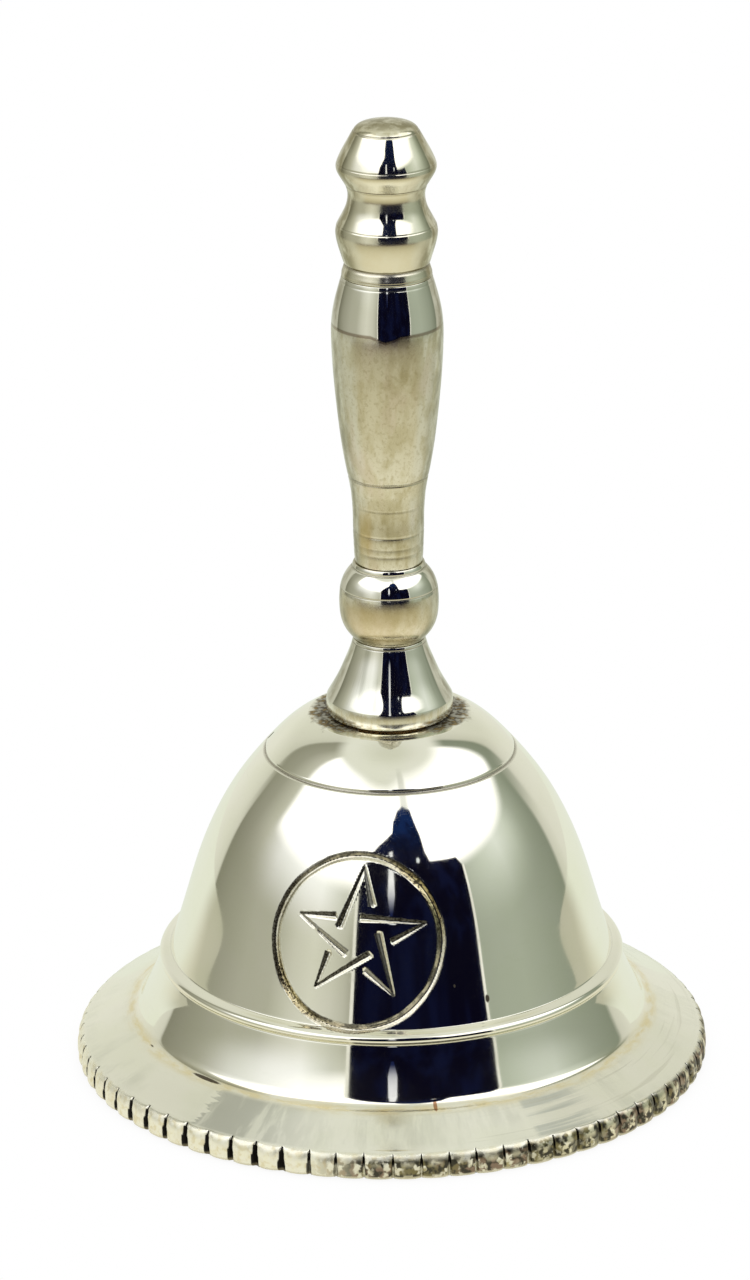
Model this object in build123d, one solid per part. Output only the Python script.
# Small silver-plated altar hand bell (sanctus bell).
# A turned cup hangs under a stacked, turned handle.  One M3 tie rod holds the
# stack: it screws into the finial, runs down through grip, collar, foot and
# crown, and takes a washer and a lock nut inside the cup.  The rod ends in an
# eye; a wire ring hangs in the eye and the clapper hangs on the ring.
#
# Frame: origin on the table plane at the centre of the mouth, +Z up the handle,
# -Y is the engraved front.  Millimetres.
from build123d import *
import math
import os

os.makedirs("parts", exist_ok=True)

# ---------------------------------------------------------- shared dimensions
MOUTH_R = 25.0            # outside radius of the lip
CROWN_TOP_Z = 28.5        # flat land the handle stands on
CROWN_LAND_R = 6.3
CROWN_UNDER_Z = 26.3      # underside of the crown, inside the cup
CROWN_HOLE_R = 1.65

ROD_R = 1.5               # M3 tie rod
ROD_CLEAR_R = 1.6         # clearance holes in the handle pieces
ROD_THREAD_R = 1.53       # threaded seats, taken at the thread's outside
ROD_TOP_Z = 70.0

LEATHER_T = 0.35          # leather washer, let into a recess under the foot
LEATHER_R = 4.42
LEATHER_TOP_Z = CROWN_TOP_Z + LEATHER_T
RECESS_R = 4.46
FOOT_GAP = 0.12           # the skirt of the foot stands off the crown
FOOT_BASE_Z = CROWN_TOP_Z + FOOT_GAP
FOOT_TOP_Z = 34.75
COLLAR_TOP_Z = 41.0
GRIP_TOP_Z = 64.05
FINIAL_TOP_Z = 76.15

STEEL_WASHER_T = 0.6
STEEL_WASHER_R = 3.5
NUT_T = 1.8
NUT_FLATS = 5.5           # across flats
NUT_TOP_Z = CROWN_UNDER_Z - STEEL_WASHER_T
NUT_BASE_Z = NUT_TOP_Z - NUT_T

# Wire rings: _R is the radius of the ring, _WIRE_R that of its wire.
EYE_R, EYE_WIRE_R = 1.4, 0.50
LINK_R, LINK_WIRE_R = 1.5, 0.36
CLAPPER_EYE_R, CLAPPER_EYE_WIRE_R = 1.1, 0.40
NUT_TO_EYE = 0.1
HANG_GAP = 0.06           # running gap where the wires hang on each other
EYE_Z = NUT_BASE_Z - NUT_TO_EYE - EYE_R - EYE_WIRE_R
LINK_Z = EYE_Z - EYE_R + EYE_WIRE_R + LINK_WIRE_R + HANG_GAP - LINK_R
PIVOT_Z = LINK_Z - LINK_R     # the clapper swings about this wire
CLAPPER_EYE_Z = PIVOT_Z + LINK_WIRE_R + CLAPPER_EYE_WIRE_R + HANG_GAP - CLAPPER_EYE_R

HOLE_ALONG_Y = Rot(90, 0, 0)  # turns for a wire ring
HOLE_ALONG_X = Rot(0, 90, 0)


# -------------------------------------------------------------------- helpers
def turned(points):
    """Revolve a closed straight-sided outline of (radius, height) about Z."""
    with BuildPart() as part:
        with BuildSketch(Plane.XZ):
            with BuildLine():
                Polyline(*points, close=True)
            make_face()
        revolve(axis=Axis.Z)
    return part.part


def lathe(runs, closing):
    """Revolve an outline of (radius, height) about Z.  Each run is one smooth
    curve (a line if it has two points); straight closing points lead back."""
    with BuildPart() as part:
        with BuildSketch(Plane.XZ):
            with BuildLine():
                for run in runs:
                    if len(run) == 2:
                        Line(*run)
                    else:
                        Spline(*run)
                Polyline(runs[-1][-1], *closing, runs[0][0])
            make_face()
        revolve(axis=Axis.Z)
    return part.part


def wire_ring(ring_r, wire_r, z, turn):
    """Upright ring of round wire centred on the axis at height z."""
    return Pos(0, 0, z) * (turn * Torus(ring_r, wire_r))


# ------------------------------------------------------------------- bell cup
# Outline runs, (radius, height): down the outside, round the rim, up the inside.
DOME = [(CROWN_LAND_R, CROWN_TOP_Z), (7.35, 27.95), (8.25, 27.22), (10.15, 25.15),
        (12.2, 22.5), (13.88, 19.5), (15.11, 16.5), (16.02, 13.5), (16.58, 11.6),
        (17.02, 10.2), (17.38, 9.1)]
BEAD = [(17.38, 9.1), (17.62, 9.0), (17.98, 8.9), (18.24, 8.72), (18.32, 8.46),
        (18.16, 8.12)]
FLARE = [(18.16, 8.12), (18.35, 7.55), (18.57, 6.99), (18.8, 6.44), (19.06, 5.9),
         (19.33, 5.36), (19.6, 4.83), (19.85, 4.36)]
FILLET = [(19.85, 4.36), (19.97, 4.17), (20.1, 4.02), (20.27, 3.9), (20.45, 3.81),
          (20.7, 3.73)]
LIP = [(20.7, 3.73), (21.5, 3.38), (23.1, 2.62), (24.72, 1.88)]
RIM = [(24.72, 1.88), (24.93, 1.74), (MOUTH_R, 1.5), (MOUTH_R, 0.9), (24.9, 0.25),
       (24.72, 0.0)]
INSIDE = [(23.5, 0.0), (22.1, 0.72), (20.6, 1.68), (19.3, 2.8), (18.25, 4.2),
          (17.35, 5.8), (16.68, 7.4), (16.1, 8.9), (15.55, 10.3), (15.05, 12.0),
          (14.4, 14.0), (13.65, 16.0), (12.5, 18.8), (10.9, 21.7), (8.9, 24.3),
          (7.6, 25.55), (6.4, 26.15), (5.3, CROWN_UNDER_Z)]

SCRIBE_R, SCRIBE_Z = 9.82, 25.50   # turned line on the shoulder
SCRIBE_CUT_R = 0.17

NOTCHES = 72              # V notches round the edge of the lip
NOTCH_DEPTH = 0.48
NOTCH_WIDTH = 0.62        # at the lip's outside radius
NOTCH_OVERRUN = 0.6       # the cutter reaches this far outside the lip
NOTCH_CUT_Z, NOTCH_CUT_H = -0.5, 3.2

BADGE_AZIMUTH = -9.0      # degrees; a little left of the front centre line
BADGE_Z = 15.50
BADGE_TILT = 21.0         # slope of the wall there, degrees from vertical
BADGE_START_R = 12.0      # the cutters start inside the wall ...
BADGE_START_DROP = 1.3    # ... and lower, to rise along the wall's normal
BADGE_REACH = 7.5
BADGE_RING_R, BADGE_RING_W = 6.50, 0.66
STAR_R = 5.45
STAR_UP = 0.32            # the star sits a little high inside its ring
STAR_TURN = -2.3          # degrees; slightly clockwise seen from outside
STROKE_W = 0.56
STROKE_TIP_W = STROKE_W * 0.45
CUT_DEPTH = 0.22
CORE_BASE_Z = 2.0


def notch_cutter():
    """Upright V-section prism, its edge towards the axis on +X."""
    outer_r = MOUTH_R + NOTCH_OVERRUN
    half_w = NOTCH_WIDTH / 2 * (NOTCH_DEPTH + NOTCH_OVERRUN) / NOTCH_DEPTH
    section = make_face(Polyline((MOUTH_R - NOTCH_DEPTH, 0), (outer_r, half_w),
                                 (outer_r, -half_w), close=True))
    return Pos(0, 0, NOTCH_CUT_Z) * extrude(section, amount=NOTCH_CUT_H)


def stroke(start, end, start_w, end_w, start_share, end_share):
    """Tapered stroke on the line start-end, between two shares of its length."""
    run_x, run_y = end[0] - start[0], end[1] - start[1]
    x0, y0 = start[0] + run_x * start_share, start[1] + run_y * start_share
    x1, y1 = start[0] + run_x * end_share, start[1] + run_y * end_share
    length = math.hypot(x1 - x0, y1 - y0)
    side_x, side_y = -(y1 - y0) / length, (x1 - x0) / length
    half0, half1 = start_w / 2, end_w / 2
    return make_face(Polyline((x0 + side_x * half0, y0 + side_y * half0),
                              (x1 + side_x * half1, y1 + side_y * half1),
                              (x1 - side_x * half1, y1 - side_y * half1),
                              (x0 - side_x * half0, y0 - side_y * half0), close=True))


def badge_faces():
    """Interlaced five-point star inside a ring, drawn flat."""
    angles = [math.radians(90 + STAR_TURN + 72 * i) for i in range(5)]
    tips = [(STAR_R * math.cos(a), STAR_UP + STAR_R * math.sin(a)) for a in angles]
    faces = []
    # Each line runs tip to tip and crosses two others: over the first, under
    # the second, so it is broken round the second, at 0.618 of its length.
    for i in range(5):
        start, end = tips[i], tips[(i + 2) % 5]
        faces.append(stroke(start, end, STROKE_TIP_W, STROKE_W, 0.015, 0.495))
        faces.append(stroke(start, end, STROKE_W, STROKE_TIP_W, 0.705, 0.985))
    faces.append(Circle(BADGE_RING_R + BADGE_RING_W / 2)
                 - Circle(BADGE_RING_R - BADGE_RING_W / 2))
    return faces


def badge_cutters():
    """The badge pushed through the wall, kept only in the outer skin, so that
    every cut has the same depth."""
    # Dome moved in along about the wall's normal at the badge.
    skin = [(r - CUT_DEPTH * 0.93, z - CUT_DEPTH * 0.36) for r, z in DOME]
    core = lathe([skin], [(skin[-1][0], CORE_BASE_Z), (0, CORE_BASE_Z), (0, skin[0][1])])

    azimuth, tilt = math.radians(BADGE_AZIMUTH), math.radians(BADGE_TILT)
    out_x, out_y = math.sin(azimuth), -math.cos(azimuth)
    plane = Plane(
        origin=(out_x * BADGE_START_R, out_y * BADGE_START_R, BADGE_Z - BADGE_START_DROP),
        x_dir=Vector(math.cos(azimuth), math.sin(azimuth), 0),
        z_dir=Vector(out_x * math.cos(tilt), out_y * math.cos(tilt), math.sin(tilt)))
    return [extrude(plane * face, amount=BADGE_REACH) - core for face in badge_faces()]


def bell_cup():
    cup = lathe([DOME, BEAD, FLARE, FILLET, LIP, RIM, [RIM[-1], INSIDE[0]], INSIDE],
                [(CROWN_HOLE_R, CROWN_UNDER_Z), (CROWN_HOLE_R, CROWN_TOP_Z)])
    cup -= Pos(0, 0, SCRIBE_Z) * Torus(SCRIBE_R, SCRIBE_CUT_R)
    notch = notch_cutter()
    cup -= [Rot(0, 0, 360.0 / NOTCHES * i) * notch for i in range(NOTCHES)]
    cup -= badge_cutters()
    return cup


# --------------------------------------------------------------------- handle
# Outside runs, (radius, height), bottom to top.
FINIAL = [
    [(3.46, GRIP_TOP_Z), (3.50, 64.22), (3.42, 64.45), (3.31, 64.75), (3.27, 65.0)],
    [(3.27, 65.0), (3.36, 65.3), (3.58, 66.0), (3.78, 66.7), (3.89, 67.3), (3.89, 67.7),
     (3.81, 68.05)],
    [(3.81, 68.05), (3.46, 68.72), (3.13, 69.38), (2.98, 69.9), (2.97, 70.75), (3.12, 71.2)],
    [(3.12, 71.2), (3.45, 71.75), (3.74, 72.25), (3.84, 72.6), (3.78, 72.95)],
    [(3.78, 72.95), (3.46, 73.68), (3.1, 74.35), (2.74, 75.0), (2.50, 75.42)],
    [(2.50, 75.42), (2.30, 75.68), (1.7, 75.93), (0.9, 76.1), (0, FINIAL_TOP_Z)]]
FINIAL_BORE_Z, FINIAL_BORE_TIP_Z = 70.2, 70.6   # blind bore with a conical end
GRIP = [
    [(2.60, COLLAR_TOP_Z), (2.64, 41.3), (2.70, 42.4), (2.74, 43.6), (2.75, 44.9),
     (2.79, 45.7), (2.88, 46.75)],
    [(2.88, 46.75), (2.96, 47.35), (3.14, 48.2), (3.38, 49.4), (3.57, 50.6), (3.73, 51.9),
     (3.88, 53.2), (4.00, 54.4), (4.12, 55.7), (4.20, 56.8), (4.27, 58.2), (4.31, 59.7),
     (4.28, 60.6), (4.19, 61.35), (4.05, 61.95), (3.90, 62.55), (3.72, 63.15),
     (3.56, 63.75), (3.46, GRIP_TOP_Z)]]
# Turned lines on the grip: height, surface radius, radius of the round cut.
GRIP_LINES = [(48.05, 3.11, 0.09), (45.85, 2.80, 0.06), (43.65, 2.74, 0.06),
              (42.7, 2.71, 0.06), (42.1, 2.685, 0.06)]
GRIP_LINE_OUTSET = 0.03   # cut centres lie this far outside the surface
COLLAR = [
    [(2.74, FOOT_TOP_Z), (2.98, 35.05), (3.34, 35.5), (3.60, 36.0), (3.77, 36.6),
     (3.85, 37.4), (3.85, 38.2), (3.77, 39.0)],
    [(3.77, 39.0), (3.62, 39.5), (3.38, 39.98), (3.08, 40.38), (2.86, 40.6)],
    [(2.86, 40.6), (2.83, 40.85), (2.72, COLLAR_TOP_Z)]]
FOOT = [
    [(4.76, FOOT_BASE_Z), (4.87, 28.78), (4.93, 29.05), (4.95, 29.5), (4.90, 29.95)],
    [(4.90, 29.95), (4.74, 30.25), (4.30, 30.98), (3.95, 31.66), (3.60, 32.5),
     (3.20, 33.45), (2.92, 34.2), (2.80, FOOT_TOP_Z)]]


def finial():
    return lathe(FINIAL, [(0, FINIAL_BORE_TIP_Z), (ROD_THREAD_R, FINIAL_BORE_Z),
                          (ROD_THREAD_R, GRIP_TOP_Z)])


def handle_grip():
    grip = lathe(GRIP, [(ROD_CLEAR_R, GRIP_TOP_Z), (ROD_CLEAR_R, COLLAR_TOP_Z)])
    for z, surface_r, cut_r in GRIP_LINES:
        grip -= Pos(0, 0, z) * Torus(surface_r + GRIP_LINE_OUTSET, cut_r)
    return grip


def collar_bead():
    return lathe(COLLAR, [(ROD_CLEAR_R, COLLAR_TOP_Z), (ROD_CLEAR_R, FOOT_TOP_Z)])


def foot_cone():
    return lathe(FOOT, [(ROD_CLEAR_R, FOOT_TOP_Z), (ROD_CLEAR_R, LEATHER_TOP_Z),
                        (RECESS_R, LEATHER_TOP_Z), (RECESS_R, FOOT_BASE_Z)])


def foot_washer():
    return turned([(ROD_CLEAR_R, CROWN_TOP_Z), (LEATHER_R - 0.04, CROWN_TOP_Z),
                   (LEATHER_R, CROWN_TOP_Z + 0.1), (LEATHER_R - 0.02, LEATHER_TOP_Z),
                   (ROD_CLEAR_R, LEATHER_TOP_Z)])


# ----------------------------------------------------- fastening in the crown
def crown_washer():
    edge = 0.08           # small chamfer on the lower edge
    return turned([(CROWN_HOLE_R, NUT_TOP_Z), (STEEL_WASHER_R - edge, NUT_TOP_Z),
                   (STEEL_WASHER_R, NUT_TOP_Z + edge), (STEEL_WASHER_R, CROWN_UNDER_Z),
                   (CROWN_HOLE_R, CROWN_UNDER_Z)])


def lock_nut():
    flat_r = NUT_FLATS / 2
    trim_r = flat_r / math.cos(math.pi / 6) + 0.02   # just outside the corners
    face_r = flat_r - 0.05
    chamfer_h = 0.28
    hexagon = extrude(RegularPolygon(flat_r, 6, major_radius=False), amount=NUT_T)
    trim = turned([(0, NUT_BASE_Z), (face_r, NUT_BASE_Z), (trim_r, NUT_BASE_Z + chamfer_h),
                   (trim_r, NUT_TOP_Z - chamfer_h), (face_r, NUT_TOP_Z), (0, NUT_TOP_Z)])
    bore = Pos(0, 0, (NUT_BASE_Z + NUT_TOP_Z) / 2) * Cylinder(ROD_THREAD_R, NUT_T + 1)
    return (Pos(0, 0, NUT_BASE_Z) * hexagon & trim) - bore


def tie_rod():
    eye_top_z = EYE_Z + EYE_R     # wire centre at the top of the eye
    shank = turned([(0, eye_top_z - 0.2), (0.52, eye_top_z - 0.2), (0.8, eye_top_z + 0.15),
                    (1.3, NUT_BASE_Z - 0.12), (ROD_R, NUT_BASE_Z + 0.08),
                    (ROD_R, ROD_TOP_Z - 0.25), (ROD_R - 0.25, ROD_TOP_Z), (0, ROD_TOP_Z)])
    return shank + wire_ring(EYE_R, EYE_WIRE_R, EYE_Z, HOLE_ALONG_Y)


# -------------------------------------------------------------------- clapper
STEM_R = 0.70
BALL_R = 4.2
BALL_FLAT = 0.15          # cut off the ball, top and bottom
BALL_Z = 0.95 + BALL_R    # the full sphere would reach down to 0.95
BALL_HOLE_R = STEM_R + 0.02
LINK_BUTT_GAP = 0.07


def hanger_ring():
    link = wire_ring(LINK_R, LINK_WIRE_R, LINK_Z, HOLE_ALONG_X)
    # The wire ends nearly meet at the back.
    return link - Pos(0, LINK_R, LINK_Z) * Box(2, 1.2, LINK_BUTT_GAP)


def clapper_stem():
    top = BALL_Z + BALL_R - BALL_FLAT
    low = BALL_Z - BALL_R + BALL_FLAT
    end_z = CLAPPER_EYE_Z - CLAPPER_EYE_R + 0.12
    # Domed head under the ball, shoulder above it, neck tapering to the eye.
    stem = turned([(0, low - 0.42), (0.45, low - 0.38), (0.82, low - 0.22),
                   (0.98, low - 0.01), (STEM_R, low - 0.01), (STEM_R, top + 0.01),
                   (1.02, top + 0.01), (1.05, top + 0.25), (1.0, top + 0.5),
                   (STEM_R, top + 0.62), (STEM_R, 15.1), (0.48, 16.3), (0.42, end_z),
                   (0, end_z)])
    return stem + wire_ring(CLAPPER_EYE_R, CLAPPER_EYE_WIRE_R, CLAPPER_EYE_Z, HOLE_ALONG_Y)


def clapper_ball():
    place = Pos(0, 0, BALL_Z)
    ball = place * Sphere(BALL_R)
    ball &= place * Box(3 * BALL_R, 3 * BALL_R, 2 * (BALL_R - BALL_FLAT))
    return ball - place * Cylinder(BALL_HOLE_R, 3 * BALL_R)


# Each piece is written to a file named after its function.
for piece in (bell_cup, finial, handle_grip, collar_bead, foot_cone, foot_washer,
              crown_washer, lock_nut, tie_rod, hanger_ring, clapper_stem, clapper_ball):
    export_step(piece(), f"parts/{piece.__name__}.step")
